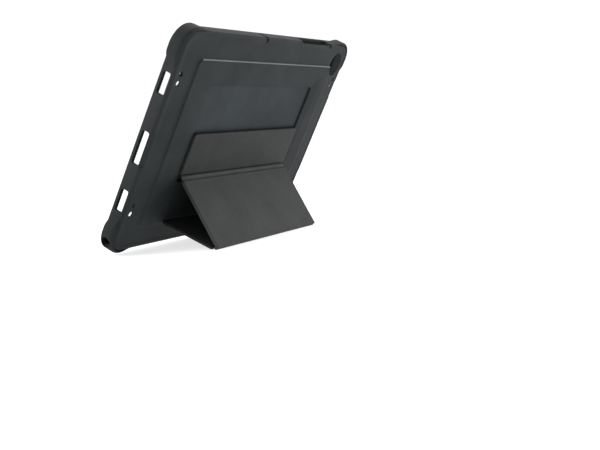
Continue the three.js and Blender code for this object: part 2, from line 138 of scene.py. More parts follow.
def loft_faces(levels, count, closed=False):
    """Faces of a stack of equal rings; closed joins the last ring to the first instead of capping."""
    faces = []
    spans = levels if closed else levels - 1
    for level in range(spans):
        low, high = level * count, ((level + 1) % levels) * count
        for i in range(count):
            j = (i + 1) % count
            faces.append((low + i, low + j, high + j, high + i))
    if not closed:
        faces.append(tuple(range(count - 1, -1, -1)))
        last = (levels - 1) * count
        faces.append(tuple(range(last, last + count)))
    return faces


def loft(name, rings, place, closed=False, sharp=38.0):
    rings = [np.asarray(ring, float) for ring in rings]
    faces = loft_faces(len(rings), len(rings[0]), closed)
    piece = new_piece(name, np.concatenate(rings), faces, place, sharp)
    face_outward(piece)
    return piece


def face_outward(piece):
    mesh = piece.data
    mesh.calc_loop_triangles()
    places = np.empty(len(mesh.vertices) * 3)
    mesh.vertices.foreach_get("co", places)
    places = places.reshape(-1, 3)
    corners = np.empty(len(mesh.loop_triangles) * 3, dtype=np.int32)
    mesh.loop_triangles.foreach_get("vertices", corners)
    a, b, c = (places[corners.reshape(-1, 3)[:, k]] for k in range(3))
    if np.einsum("ij,ij->i", a, np.cross(b, c)).sum() < 0:
        mesh.flip_normals()


def cut(piece, cutters, sharp):
    """Cuts a piece with several separate closed cutters at once and removes the cutters."""
    points, faces = [], []
    for cutter in cutters:
        first = len(points)
        points += [vertex.co.copy() for vertex in cutter.data.vertices]
        faces += [tuple(first + i for i in face.vertices) for face in cutter.data.polygons]
        bpy.data.objects.remove(cutter)
    mesh = bpy.data.meshes.new("cutters")
    mesh.from_pydata(points, [], faces)
    mesh.update()
    joined = bpy.data.objects.new("cutters", mesh)
    bpy.context.scene.collection.objects.link(joined)
    step = piece.modifiers.new("cut", "BOOLEAN")
    step.operation = "DIFFERENCE"
    step.solver = "EXACT"
    step.object = joined
    result = bpy.data.meshes.new_from_object(piece.evaluated_get(bpy.context.evaluated_depsgraph_get()))
    piece.modifiers.clear()
    old = piece.data
    piece.data = result
    bpy.data.meshes.remove(old)
    bpy.data.objects.remove(joined)
    smooth(piece, sharp)


def quarter(count):
    return [i * math.pi / 2 / count for i in range(count + 1)]


# ---------------------------------------------------------------- rounded rectangles
def even(count):
    return [-1 + 2 * i / count for i in range(count + 1)]


class Outline:
    """The same sampling of every rounded rectangle of one piece, so that its rings can be joined."""

    def __init__(self, along_x, along_y, corner_steps=6):
        self.along_x = along_x
        self.along_y = along_y
        self.corner_steps = corner_steps

    def ring(self, half_x, half_y, radius, z):
        straight_x, straight_y = half_x - radius, half_y - radius
        points = []
        sides = (
            (self.along_y, lambda t: (half_x, t * straight_y), 0.0, (straight_x, straight_y)),
            (self.along_x, lambda t: (-t * straight_x, half_y), 0.5, (-straight_x, straight_y)),
            (self.along_y, lambda t: (-half_x, -t * straight_y), 1.0, (-straight_x, -straight_y)),
            (self.along_x, lambda t: (t * straight_x, -half_y), 1.5, (straight_x, -straight_y)),
        )
        for along, place, start, centre in sides:
            points += [place(t) for t in along]
            for i in range(1, self.corner_steps):
                angle = (start + i / self.corner_steps / 2) * math.pi
                points.append((centre[0] + radius * math.cos(angle), centre[1] + radius * math.sin(angle)))
        return np.array([(x, y, z) for x, y in points])


def rounded_plate_rings(outline, half_x, half_y, corner, low, high, fillet, steps=4):
    """A plate with all its long edges rounded."""
    rings = []
    for angle in quarter(steps):
        inset = fillet * (1 - math.sin(angle))
        z = low + fillet * (1 - math.cos(angle))
        rings.append(outline.ring(half_x - inset, half_y - inset, max(corner - inset, 0.2), z))
    for angle in reversed(quarter(steps)):
        inset = fillet * (1 - math.sin(angle))
        z = high - fillet * (1 - math.cos(angle))
        rings.append(outline.ring(half_x - inset, half_y - inset, max(corner - inset, 0.2), z))
    return rings


def shift(ring, x=0.0, y=0.0, z=0.0):
    return ring + np.array((x, y, z))


# ---------------------------------------------------------------- materials
def material(name):
    made = bpy.data.materials.new(name)
    made.use_nodes = True
    return made, made.node_tree.nodes, made.node_tree.links


def srgb(red, green, blue):
    def linear(value):
        value /= 255
        return value / 12.92 if value <= 0.04045 else ((value + 0.055) / 1.055) ** 2.4
    return (linear(red), linear(green), linear(blue), 1.0)


def noise(nodes, links, scale, detail, roughness=0.55):
    place = nodes.new("ShaderNodeTexCoord")
    texture = nodes.new("ShaderNodeTexNoise")
    texture.inputs["Scale"].default_value = scale
    texture.inputs["Detail"].default_value = detail
    texture.inputs["Roughness"].default_value = roughness
    links.new(place.outputs["Object"], texture.inputs["Vector"])
    return texture


def ramp(nodes, links, source, stops):
    node = nodes.new("ShaderNodeValToRGB")
    while len(node.color_ramp.elements) < len(stops):
        node.color_ramp.elements.new(0.5)
    for element, (position, colour) in zip(node.color_ramp.elements, stops):
        element.position = position
        element.color = colour
    links.new(source, node.inputs["Fac"])
    return node


def rough_range(nodes, links, source, low, high):
    node = nodes.new("ShaderNodeMapRange")
    node.inputs["To Min"].default_value = low
    node.inputs["To Max"].default_value = high
    links.new(source, node.inputs["Value"])
    return node


GRAIN_SCALE = 2600


def moulded(name, dark, light, rough=(0.5, 0.62), grain=0.00003, sheen=0.0, gloss=0.14):
    """Moulded plastic or rubber: a fine spark-eroded grain, and slow changes of shade and gloss."""
    made, nodes, links = material(name)
    shader = nodes["Principled BSDF"]
    patches = noise(nodes, links, 28, 4)
    links.new(ramp(nodes, links, patches.outputs["Fac"], ((0.35, dark), (0.65, light))).outputs["Color"],
              shader.inputs["Base Color"])
    wipe = noise(nodes, links, 75, 6, 0.65)
    links.new(rough_range(nodes, links, wipe.outputs["Fac"], *rough).outputs["Result"],
              shader.inputs["Roughness"])
    fine = noise(nodes, links, GRAIN_SCALE, 2)
    bump = nodes.new("ShaderNodeBump")
    bump.inputs["Strength"].default_value = 0.5
    bump.inputs["Distance"].default_value = grain
    links.new(fine.outputs["Fac"], bump.inputs["Height"])
    links.new(bump.outputs["Normal"], shader.inputs["Normal"])
    shader.inputs["Specular IOR Level"].default_value = gloss
    if sheen:
        shader.inputs["Sheen Weight"].default_value = sheen
        shader.inputs["Sheen Roughness"].default_value = 0.4
    return made


def leather(name, dark, light, rough=(0.5, 0.68)):
    """Imitation leather: small pebbles with creases between them over a slow change of shade."""
    made, nodes, links = material(name)
    shader = nodes["Principled BSDF"]
    place = nodes.new("ShaderNodeTexCoord")
    wobble = noise(nodes, links, 900, 3)
    mixed = nodes.new("ShaderNodeMix")
    mixed.data_type = "VECTOR"
    mixed.inputs["Factor"].default_value = 0.0012
    links.new(place.outputs["Object"], mixed.inputs["A"])
    links.new(wobble.outputs["Color"], mixed.inputs["B"])
    pebbles = nodes.new("ShaderNodeTexVoronoi")
    pebbles.feature = "SMOOTH_F1"
    pebbles.inputs["Scale"].default_value = 1150
    pebbles.inputs["Smoothness"].default_value = 0.6
    links.new(mixed.outputs["Result"], pebbles.inputs["Vector"])
    patches = noise(nodes, links, 40, 5)
    links.new(ramp(nodes, links, patches.outputs["Fac"], ((0.3, dark), (0.7, light))).outputs["Color"],
              shader.inputs["Base Color"])
    links.new(rough_range(nodes, links, pebbles.outputs["Distance"], *rough).outputs["Result"],
              shader.inputs["Roughness"])
    bump = nodes.new("ShaderNodeBump")
    bump.invert = True
    bump.inputs["Strength"].default_value = 0.45
    bump.inputs["Distance"].default_value = 0.00008
    links.new(pebbles.outputs["Distance"], bump.inputs["Height"])
    links.new(bump.outputs["Normal"], shader.inputs["Normal"])
    shader.inputs["Specular IOR Level"].default_value = 0.16
    return made


def brushed(name, dark, light, metallic=0.0, rough=(0.3, 0.45), stretch=(1, 40, 40)):
    """A surface with fine parallel marks, for steel, card and fabric linings."""
    made, nodes, links = material(name)
    shader = nodes["Principled BSDF"]
    place = nodes.new("ShaderNodeTexCoord")
    mapping = nodes.new("ShaderNodeMapping")
    mapping.inputs["Scale"].default_value = stretch
    links.new(place.outputs["Object"], mapping.inputs["Vector"])
    marks = nodes.new("ShaderNodeTexNoise")
    marks.inputs["Scale"].default_value = 60
    marks.inputs["Detail"].default_value = 4
    links.new(mapping.outputs["Vector"], marks.inputs["Vector"])
    links.new(ramp(nodes, links, marks.outputs["Fac"], ((0.3, dark), (0.7, light))).outputs["Color"],
              shader.inputs["Base Color"])
    links.new(rough_range(nodes, links, marks.outputs["Fac"], *rough).outputs["Result"],
              shader.inputs["Roughness"])
    bump = nodes.new("ShaderNodeBump")
    bump.inputs["Strength"].default_value = 0.3
    bump.inputs["Distance"].default_value = 0.00003
    links.new(marks.outputs["Fac"], bump.inputs["Height"])
    links.new(bump.outputs["Normal"], shader.inputs["Normal"])
    shader.inputs["Metallic"].default_value = metallic
    return made


LOOKS = {
    "shell": moulded("shell_plastic", srgb(33, 37, 38), srgb(41, 45, 46), rough=(0.6, 0.72)),
    "recess": moulded("recess_plastic", srgb(33, 39, 43), srgb(41, 48, 53), rough=(0.55, 0.65),
                      grain=0.000015),
    # The edge plastic is glossier than the shell and much lighter in colour: the lighter colour is a painted
    # highlight along the plateau's upper step.
    "edge": moulded("glossy_painted_highlight_edge", srgb(78, 83, 83), srgb(90, 95, 95), rough=(0.35, 0.45), grain=0.00001,
                    gloss=0.4),
    "bumper": moulded("bumper_plastic", srgb(31, 34, 34), srgb(39, 42, 42), rough=(0.6, 0.75)),
    "strip": moulded("strip_plastic", srgb(108, 108, 108), srgb(118, 118, 118), rough=(0.4, 0.5)),
    "centre_plate": moulded("plate_plastic", srgb(132, 132, 132), srgb(142, 142, 142), rough=(0.25, 0.34),
                            grain=0.00001, gloss=0.5),
    "pad_cap": moulded("pad_blue", srgb(104, 170, 240), srgb(122, 186, 248), rough=(0.4, 0.5), sheen=0.2,
                       gloss=0.4),
    "pad_base": moulded("pad_dark_blue", srgb(20, 62, 120), srgb(28, 74, 136), rough=(0.45, 0.55)),
    "leather": leather("stand_leather", srgb(50, 52, 51), srgb(60, 62, 61)),
    # The fixed panel's leather is a darker copy of the leg's leather: painted shade on the panel's face, which
    # turns back and down.
    "painted_shade_panel_leather": leather("painted_shade_panel_leather", srgb(36, 38, 37), srgb(46, 48, 47)),
    # The base's leather is a near-black copy of the stand's leather: painted shade for the shadow under the
    # stand.
    "painted_shade_base_leather": leather("painted_shade_base_leather", srgb(20, 21, 21), srgb(28, 29, 29)),
    "lining": brushed("stand_lining", srgb(24, 26, 26), srgb(34, 36, 36), rough=(0.75, 0.9),
                      stretch=(30, 30, 30)),
    "board": brushed("fibreboard", srgb(120, 100, 78), srgb(140, 118, 92), rough=(0.8, 0.9)),
    "tape": brushed("foam_tape", srgb(206, 202, 192), srgb(222, 218, 208), rough=(0.7, 0.85),
                    stretch=(20, 20, 20)),
    "steel": brushed("plated_steel", srgb(168, 170, 172), srgb(190, 192, 194), metallic=1.0),
}


def finish_piece(piece, slot, body, *nodes):
    """Gives a piece its material where it has none yet, puts it on its body, and hides the CAD nodes that it
    stands for.
    """
    if not piece.data.materials:
        piece.data.materials.append(LOOKS[slot])
    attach(piece, body)
    if nodes:
        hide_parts(*nodes)


# ---------------------------------------------------------------- shell
# for each side of the tray: how many ribs, their pitch, and half the side's straight length
RIB_SIDES = {"x": (10, 17.3, CREASE_X - CREASE_CORNER), "y": (5, 18.5, CREASE_Y - CREASE_CORNER)}
RIB_EDGE, RIB_STEPS, SHELL_CORNER_STEPS = 0.2, 7, 14


def rib_samples(side):
    """Places along one straight side, as shares of its half length, with a pair at every rib's edge."""
    count, pitch, half = RIB_SIDES[side]
    edge = RIB_EDGE / half
    ribs = [(i - (count - 1) / 2) * pitch / half for i in range(count)]
    stops = [-1.0, *ribs, 1.0]
    places = []
    for start, end in zip(stops, stops[1:]):
        low = start + edge if start > -1 else -1.0
        high = end - edge if end < 1 else 1.0
        places += [low + (high - low) * i / RIB_STEPS for i in range(RIB_STEPS + 1)]
    return places


def rib_height(side, share):
    """How high the ribs stand at a place on one side: each rises in one step and falls to the next."""
    count, pitch, half = RIB_SIDES[side]
    along = share * half
    phase = along / pitch + (count - 1) / 2
    if phase < 0 or phase > count:
        return 0.0
    return 1 - (phase - math.floor(phase))


def ribbed(ring, samples, amount):
    """Raises the inner slope of the tray into the fan of ribs."""
    lifted = ring.copy()
    index = 0
    for side, places, sign in (("y", samples["y"], 1), ("x", samples["x"], -1), ("y", samples["y"], -1),
                               ("x", samples["x"], 1)):
        for share in places:
            lifted[index, 2] += amount * rib_height(side, share * sign)
            index += 1
        index += SHELL_CORNER_STEPS - 1
    return lifted


def shell_rings():
    outline = Outline(rib_samples("x"), rib_samples("y"), SHELL_CORNER_STEPS)
    ring = outline.ring
    rings = []
    # back of the case, from the plateau over its step out to the wall
    rings.append(ring(PLATEAU_X - 4, PLATEAU_Y - 4, PLATEAU_CORNER, PLATEAU_Z))
    side_softness = 2.6
    step_profile = ((0.8, 0), (0.5, 0.02), (0.28, 0.08), (0.12, 0.2), (0, 0.5), (-0.1, 0.85), (-0.3, 0.96),
                    (-0.8, 1))
    for inset, drop in step_profile:
        rings.append(ring(PLATEAU_X - inset * side_softness, PLATEAU_Y - inset, PLATEAU_CORNER,
                          PLATEAU_Z + drop * PLATEAU_STEP))
    foot = -WALL_DEPTH - BACK_ROUND_Z
    crown = PLATEAU_Z + PLATEAU_STEP
    channel_profile = ((0.12, 0), (0.3, 0), (0.5, 0.03), (0.66, 0.16), (0.78, 0.34), (0.87, 0.38), (0.94, 0.2),
                       (0.985, 0.03))
    for t, channel in channel_profile:
        half_x = PLATEAU_X + (WALL_X - BACK_ROUND_X - PLATEAU_X) * t
        half_y = PLATEAU_Y + (WALL_Y - BACK_ROUND_X - PLATEAU_Y) * t
        corner = PLATEAU_CORNER + (WALL_CORNER - 2.5 - PLATEAU_CORNER) * t
        z = crown + (foot - crown) * t + channel
        rings.append(ring(half_x, half_y, corner, z))
    for angle in quarter(7):
        inset = BACK_ROUND_X * (1 - math.sin(angle))
        z = foot + BACK_ROUND_Z * (1 - math.cos(angle))
        rings.append(ring(WALL_X - inset, WALL_Y - inset, WALL_CORNER - inset * 0.8, z))
    # wall and rim
    rings.append(ring(WALL_X, WALL_Y, WALL_CORNER, -5))
    lip = 0.9
    for angle in quarter(5):
        inset = lip * (1 - math.cos(angle))
        z = -lip * (1 - math.sin(angle))
        rings.append(ring(WALL_X - inset, WALL_Y - inset, WALL_CORNER - inset, z))
    lip_x, lip_y = TABLET_X - LIP, TABLET_Y - LIP
    lip_corner = TABLET_CORNER - LIP
    for angle in quarter(4):
        inset = 0.6 * (1 - math.sin(angle))
        z = -0.6 * (1 - math.cos(angle))
        rings.append(ring(lip_x + inset, lip_y + inset, lip_corner + inset, z))
    # under the lip, cavity wall and ribbed slope
    cavity = CAVITY_GAP
    corner = TABLET_CORNER + cavity
    rings.append(ring(lip_x, lip_y, lip_corner, -LIP_DEPTH))
    rings.append(ring(lip_x + 0.5, lip_y + 0.5, lip_corner + 0.5, -LIP_DEPTH - 0.15))
    rings.append(ring(TABLET_X + cavity - 0.3, TABLET_Y + cavity - 0.3, corner - 0.3, -LIP_DEPTH - 0.6))
    rings.append(ring(TABLET_X + cavity, TABLET_Y + cavity, corner, -LIP_DEPTH - 1.0))
    samples = {"x": outline.along_x, "y": outline.along_y}
    for t, fall in ((0, -1.3), (0.3, -0.5), (1, 0)):
        inset = 1.0 * t
        z = FLOOR_EDGE_Z - fall
        flat = ring(TABLET_X + cavity - inset, TABLET_Y + cavity - inset, corner - inset, z)
        rings.append(ribbed(flat, samples, RIB_TOP * max(0, t - 0.1)))
    for t in (0.85, 0.65, 0.45, 0.25, 0.1, 0.0):
        half_x = CREASE_X + (FLOOR_EDGE_X - CREASE_X) * t
        half_y = CREASE_Y + (FLOOR_EDGE_Y - CREASE_Y) * t
        radius = CREASE_CORNER + (corner - 1 - CREASE_CORNER) * t
        flat = ring(half_x, half_y, radius, FLOOR_Z + (FLOOR_EDGE_Z - FLOOR_Z) * t)
        rings.append(ribbed(flat, samples, RIB_FOOT + (RIB_TOP - RIB_FOOT) * t))
    rings.append(ribbed(ring(CREASE_X - 6, CREASE_Y - 5, CREASE_CORNER, FLOOR_Z), samples, 0.1))
    rings.append(ring(CREASE_X - 16, CREASE_Y - 10, CREASE_CORNER, FLOOR_Z))
    return rings


def flared_hole(name, outline_at, outer, inner, fillet, axis, steps=4, inside=None):
    """A cutter whose ends open in quarter rounds, so that the hole it makes has rounded edges.

    outline_at(grow) gives the hole's section as (a, b) pairs; outer and inner are the faces of the
    wall along the axis, as functions of a and b. fillet is the round at the outer face, and inside
    the one at the inner face, where it differs.
    """
    inside = fillet if inside is None else inside
    rings = []
    for angle in quarter(steps):
        rings.append((fillet * (1 - math.sin(angle)), -fillet * (1 - math.cos(angle)), True))
    for angle in reversed(quarter(steps)):
        rings.append((inside * (1 - math.sin(angle)), inside * (1 - math.cos(angle)), False))
    stack = [(fillet, 3.0, True), *rings, (inside, -3.0, False)]
    made = []
    for grow, offset, at_outer in stack:
        ring = []
        for a, b in outline_at(grow):
            face = (outer if at_outer else inner)(a, b)
            way = 1 if outer(a, b) > inner(a, b) else -1
            along = face + way * offset
            ring.append({"x": (along, a, b), "y": (a, along, b), "z": (a, b, along)}[axis])
        made.append(ring)
    return loft(name, made, CASE)


def rounded_section(a0, a1, b0, b1, radius, steps=5):
    def at(grow):
        outline = Outline([-1, 0, 1], [-1, 0, 1], steps)
        half_a, half_b = (a1 - a0) / 2 + grow, (b1 - b0) / 2 + grow
        ring = outline.ring(half_a, half_b, min(radius + grow, half_a, half_b) * 0.999, 0)
        return [(a + (a0 + a1) / 2, b + (b0 + b1) / 2) for a, b, _ in ring]
    return at


def round_section(x, y, radius, count):
    def at(grow):
        turns = [2 * math.pi * i / count for i in range(count)]
        return [(x + (radius + grow) * math.cos(t), y + (radius + grow) * math.sin(t)) for t in turns]
    return at


def back_z(x, y):
    """The outer surface of the back on the slope between the plateau and the wall."""
    by_x = (abs(x) - PLATEAU_X) / (WALL_X - BACK_ROUND_X - PLATEAU_X)
    by_y = (abs(y) - PLATEAU_Y) / (WALL_Y - BACK_ROUND_X - PLATEAU_Y)
    t = max(by_x, by_y)
    if t <= 0:
        return PLATEAU_Z
    crown = PLATEAU_Z + PLATEAU_STEP
    return crown + (-WALL_DEPTH - BACK_ROUND_Z - crown) * min(t, 1.0)


def channel_z(x, y):
    """The back's surface in the shallow channel just inside its rounded edge, where the strap holes are."""
    return back_z(x, y) + 0.25


def floor_z(x, y):
    """The inner surface of the tray's floor, without its ribs."""
    by_x = (abs(x) - CREASE_X) / (FLOOR_EDGE_X - CREASE_X)
    by_y = (abs(y) - CREASE_Y) / (FLOOR_EDGE_Y - CREASE_Y)
    t = min(max(by_x, by_y, 0.0), 1.0)
    return FLOOR_Z + (FLOOR_EDGE_Z - FLOOR_Z) * t


def level(value):
    return lambda a, b: value


def opening_cutters():
    cutters = []
    side = level(WALL_X), level(TABLET_X + CAVITY_GAP)
    other = level(-WALL_X), level(-TABLET_X - CAVITY_GAP)
    for from_y, to_y in SPEAKERS:
        section = rounded_section(from_y, to_y, SIDE_LOW, SIDE_HIGH, 1.2)
        cutters.append(flared_hole("speaker_cut", section, *side, 0.5, "x"))
        cutters.append(flared_hole("speaker_cut", section, *other, 0.5, "x"))
    section = rounded_section(*USB, SIDE_LOW, SIDE_HIGH, 1.6)
    cutters.append(flared_hole("port_cut", section, *side, 0.6, "x"))
    top = level(WALL_Y), level(TABLET_Y + CAVITY_GAP)
    section = rounded_section(*BUTTONS, 2.2)
    cutters.append(flared_hole("button_cut", section, *top, 0.6, "y"))
    cutters.append(mic_cutter())
    hole_x, hole_y, radius = CAMERA_HOLE
    cutters.append(flared_hole("camera_cut", round_section(hole_x, hole_y, radius, 72), level(CAMERA_RIM_Z),
                               floor_z, 1.2, "z", 6, 0.3))
    for x in (-STRAP_X, STRAP_X):
        for y in STRAP_Y:
            section = round_section(x, y, STRAP_RADIUS, 24)
            cutters.append(flared_hole("strap_cut", section, channel_z, floor_z, 0.35, "z", 3))
    return cutters


def mic_cutter():
    """A notch across the back's rounded edge, widest at the wall and narrowing inward to a point."""
    rings = []
    low = -14
    for outward, share in ((3, 1), (-1.5, 0.9), (-4.5, 0.25)):
        y, half = WALL_Y + outward, MIC_WIDTH * share
        sides = [(-half, low), (-half, MIC_TOP - 0.7), (-half * 0.6, MIC_TOP), (half * 0.6, MIC_TOP),
                 (half, MIC_TOP - 0.7), (half, low)]
        rings.append([(MIC_X + x, y, z) for x, z in sides])
    return loft("mic_cut", rings, CASE)


SIDE_SCOOP_SLOPE, BUTTON_SCOOP_SLOPE = 0.5167, 0.75


def scoop_cutters():
    cutters = [scoop("x", USB, (WALL_X, -8.3), SIDE_SCOOP_SLOPE),
               scoop("y", BUTTONS[:2], (WALL_Y, -7.4), BUTTON_SCOOP_SLOPE, ends=1.3)]
    for span in SPEAKERS:
        for sign in (1, -1):
            cutters.append(scoop("x", span, (WALL_X, -9.3), SIDE_SCOOP_SLOPE, sign, ends=1.4))
    return cutters


def recess_cutter(section):
    fillet = 0.45
    stack = [(fillet + 0.4, PLATEAU_Z - 3), (fillet + 0.05, PLATEAU_Z - 0.03)]
    for angle in quarter(4)[1:]:
        stack.append((fillet * (1 - math.sin(angle)), PLATEAU_Z + fillet * (1 - math.cos(angle))))
    for angle in quarter(3)[1:]:
        stack.append((-0.3 * (1 - math.cos(angle)), RECESS_Z - 0.3 * (1 - math.sin(angle))))
    return loft("recess_cut", [[(a, b, z) for a, b in section(grow)] for grow, z in stack], CASE)


def scoop(axis, span, edge, slope, sign=1, ends=1.0):
    """A shallow slanted scoop that leads from the back's bevel into an opening in the wall.

    edge is the place (outward, z) on the wall where the scoop begins; ends stretches its run-outs.
    """
    outside, inside, below = 5, 7.5, -22
    run_out = ((2.6, 4), (1.4, 1.6), (0.5, 0.45), (-0.6, 0))
    reach, z = edge
    stations = [(min(span) - beyond * ends, drop) for beyond, drop in run_out]
    stations += [(max(span) + beyond * ends, drop) for beyond, drop in reversed(run_out)]
    rings = []
    for along, drop in stations:
        section = [(reach + outside, z + outside * slope - drop), (reach - inside, z - inside * slope - drop),
                   (reach - inside, below), (reach + outside, below)]
        ring = []
        for out, height in section:
            ring.append((sign * out, along, height) if axis == "x" else (along, sign * out, height))
        rings.append(ring)
    return loft("scoop_cut", rings, CASE)


def jack_cutter():
    rings = []
    section = round_section(JACK_Y, JACK_Z, JACK_RADIUS, 36)
    for x in (114, 134):
        rings.append([(x, a, b) for a, b in section(0)])
    return loft("jack_cut", rings, CASE)


def build_shell():
    shell = loft("shell_moulding", shell_rings(), CASE, sharp=SHELL_SHARP)
    cut(shell, opening_cutters(), SHELL_SHARP)
    cut(shell, scoop_cutters(), SHELL_SHARP)
    section = rounded_section(-RECESS_X, RECESS_X, RECESS_BOTTOM, RECESS_TOP, 2.5, 8)
    cut(shell, [recess_cutter(section), jack_cutter()], SHELL_SHARP)
    shell.data.materials.append(LOOKS["shell"])
    shell.data.materials.append(LOOKS["recess"])
    shell.data.materials.append(LOOKS["edge"])
    to_case = CASE.inverted()
    for face in shell.data.polygons:
        x, y, z = to_case @ face.center
        on_recess = abs(z - RECESS_Z) < 0.08 and abs(x) < RECESS_X and RECESS_BOTTOM < y < RECESS_TOP
        on_upper_step = PLATEAU_Z + 0.01 < z < PLATEAU_Z + 0.7 * PLATEAU_STEP and abs(y - PLATEAU_Y) < 1
        if on_recess and face.normal.dot(OUT) < -0.9:
            face.material_index = 1
        # The plateau's upper step takes the lighter edge plastic: a painted highlight line.
        elif on_upper_step and abs(x) < PLATEAU_X - 3:
            face.material_index = 2
    finish_piece(shell, "shell", "case", "shell")
    return shell


# ---------------------------------------------------------------- corner bumpers
BUMPER_REACH_X, BUMPER_REACH_Y, BUMPER_PROUD, BUMPER_TAPER = 27.0, 27.0, 3.3, 14.0
BUMPER_END, BUMPER_TOP_LESS = 0.2, 1.4
CORNERS = (("top_right", 1, 1), ("top_left", -1, 1), ("bottom_left", -1, -1), ("bottom_right", 1, -1))


def bumper_stations():
    """Points along the shell's outer corner with the outward direction and how full the bumper is."""
    cx, cy = WALL_X - WALL_CORNER, WALL_Y - WALL_CORNER
    leg_x, leg_y = BUMPER_REACH_X - WALL_CORNER, BUMPER_REACH_Y - WALL_CORNER
    stations = []
    steps = 14
    for i in range(steps):
        along = leg_y * i / steps
        stations.append((WALL_X, cy - leg_y + along, 1.0, 0.0, along))
    for i in range(25):
        angle = i / 24 * math.pi / 2
        nx, ny = math.cos(angle), math.sin(angle)
        stations.append((cx + WALL_CORNER * nx, cy + WALL_CORNER * ny, nx, ny, BUMPER_TAPER + 5.0))
    for i in range(steps):
        along = leg_x * (i + 1) / steps
        stations.append((cx - along, WALL_Y, 0.0, 1.0, leg_x - along))
    return stations


def build_bumper(name, sign_x, sign_y):
    rings = []
    for x, y, nx, ny, from_end in bumper_stations():
        t = min(from_end / (BUMPER_TAPER if ny > 0.5 else 0.7 * BUMPER_TAPER), 1.0)
        full = t * t * (3 - 2 * t)
        proud = BUMPER_END + (BUMPER_PROUD - BUMPER_TOP_LESS * ny - BUMPER_END) * full
        low = -10.7 + 1.6 * (1 - full)
        high = -0.55 - 0.9 * (1 - full)
        section = bumper_section(proud, low, high)
        rings.append([(sign_x * (x + nx * out), sign_y * (y + ny * out), z) for out, z in section])
    bumper = loft(f"bumper_{name}", rings, CASE, sharp=45)
    if name == "bottom_right":
        cut(bumper, [jack_cutter()], sharp=45)
    finish_piece(bumper, "bumper", "case", f"corner_bumper_{name}")


def bumper_section(proud, low, high):
    """A D-shaped section from inside the wall outward: a soft round in front, a fuller one at the back.

    A groove is left between its back and the shell's rounded edge.
    """
    inner = -1.4
    points = [(-0.35, low + 1.25), (inner, low + 1.6), (inner, high - 0.35)]
    front = min(1.5, proud * 0.9)
    back = min(3.2, proud * 0.95)
    for angle in quarter(6):
        points.append((proud - front * (1 - math.sin(angle)), high - front * (1 - math.cos(angle)) * 0.9))
    for angle in reversed(quarter(8)):
        points.append((proud - back * (1 - math.sin(angle)), low + back * (1 - math.cos(angle)) * 1.15))
    return points


# ---------------------------------------------------------------- inside the tray
def build_ring():
    """The flat grey strip that joins the four pads."""
    half_x, top, bottom, chamfer = 73.0, 44.5, -37.5, 12.0
    corners = [
        (half_x, bottom + chamfer), (half_x, top - chamfer), (half_x - chamfer, top), (chamfer - half_x, top),
        (-half_x, top - chamfer), (-half_x, bottom + chamfer), (chamfer - half_x, bottom),
        (half_x - chamfer, bottom),
    ]
    path = round_corners(corners, 9.0, 6)
    rings = []
    count = len(path)
    for i, point in enumerate(path):
        way = path[(i + 1) % count] - path[i - 1]
        across = np.array((way[1], -way[0])) / np.linalg.norm(way)
        section = strip_section(3.5, FLOOR_Z + 0.02, FLOOR_Z + 0.62)
        rings.append([(*(point + across * a), z) for a, z in section])
    ring = loft("floor_strip_ring", rings, CASE, closed=True, sharp=50)
    finish_piece(ring, "strip", "case", "floor_ring")


def strip_section(half, low, high):
    round_off = 0.3
    top = [(half - round_off * (1 - math.sin(angle)), high - round_off * (1 - math.cos(angle)))
           for angle in reversed(quarter(3))]
    return [(-half, low), (half, low), *top, *[(-a, z) for a, z in reversed(top)]]


def round_corners(corners, radius, steps):
    """A closed path with its corners rounded by quadratic curves."""
    path = []
    count = len(corners)
    for i in range(count):
        before, here, after = (np.array(corners[(i + k) % count], float) for k in (-1, 0, 1))
        reach = min(radius, np.linalg.norm(here - before) / 2.05, np.linalg.norm(after - here) / 2.05)
        start = here + (before - here) / np.linalg.norm(before - here) * reach
        end = here + (after - here) / np.linalg.norm(after - here) * reach
        for k in range(steps + 1):
            t = k / steps
            path.append((1 - t) ** 2 * start + 2 * t * (1 - t) * here + t ** 2 * end)
    return path


PAD_X, PAD_TOP_Y, PAD_BOTTOM_Y, PAD_TURN = 69.0, 38.0, -31.0, math.radians(40)


def build_corner_strip(name, sign_x, sign_y):
    start = np.array((PAD_X, PAD_TOP_Y if sign_y > 0 else -PAD_BOTTOM_Y))
    end = np.array((TABLET_X - 11, TABLET_Y - 9))
    if name == "top_left":
        end = start + (end - start) * 0.62
    heading = (end - start) / np.linalg.norm(end - start)
    across = np.array((-heading[1], heading[0]))
    length = np.linalg.norm(end - start)
    rings = []
    steps = 26
    from_pad = 14
    for i in range(steps + 1):
        t = i / steps
        distance = from_pad + (length - from_pad) * t
        half = (3.5 - 1.5 * t) * (1 - max(0, t - 0.93) * 4)
        centre = start + heading * distance
        low = floor_z(*centre)
        ring = []
        for a, z in strip_section(half, low - 0.25, low + 0.55):
            point = centre + across * a
            ring.append((sign_x * point[0], sign_y * point[1], z))
        rings.append(ring)
    strip = loft(f"corner_strip_{name}_moulding", rings, CASE, sharp=50)
    finish_piece(strip, "strip", "case", f"corner_strip_{name}")


def pad_outline(inset, radius=2.4, steps=5):
    """A triangle with its corners cut off, all of its six corners rounded."""
    side, tip = 11.5 - inset, 16.0 - inset
    radius = max(radius - inset, 0.3)
    corners = []
    for i in range(3):
        along = i * 2 * math.pi / 3
        for turn in (-1, 1):
            offset = (side - tip * math.cos(math.pi / 3)) / math.sin(math.pi / 3)
            corners.append((tip * math.cos(along) - turn * offset * math.sin(along),
                            tip * math.sin(along) + turn * offset * math.cos(along)))
    return round_corners(corners, radius * 1.1, steps)


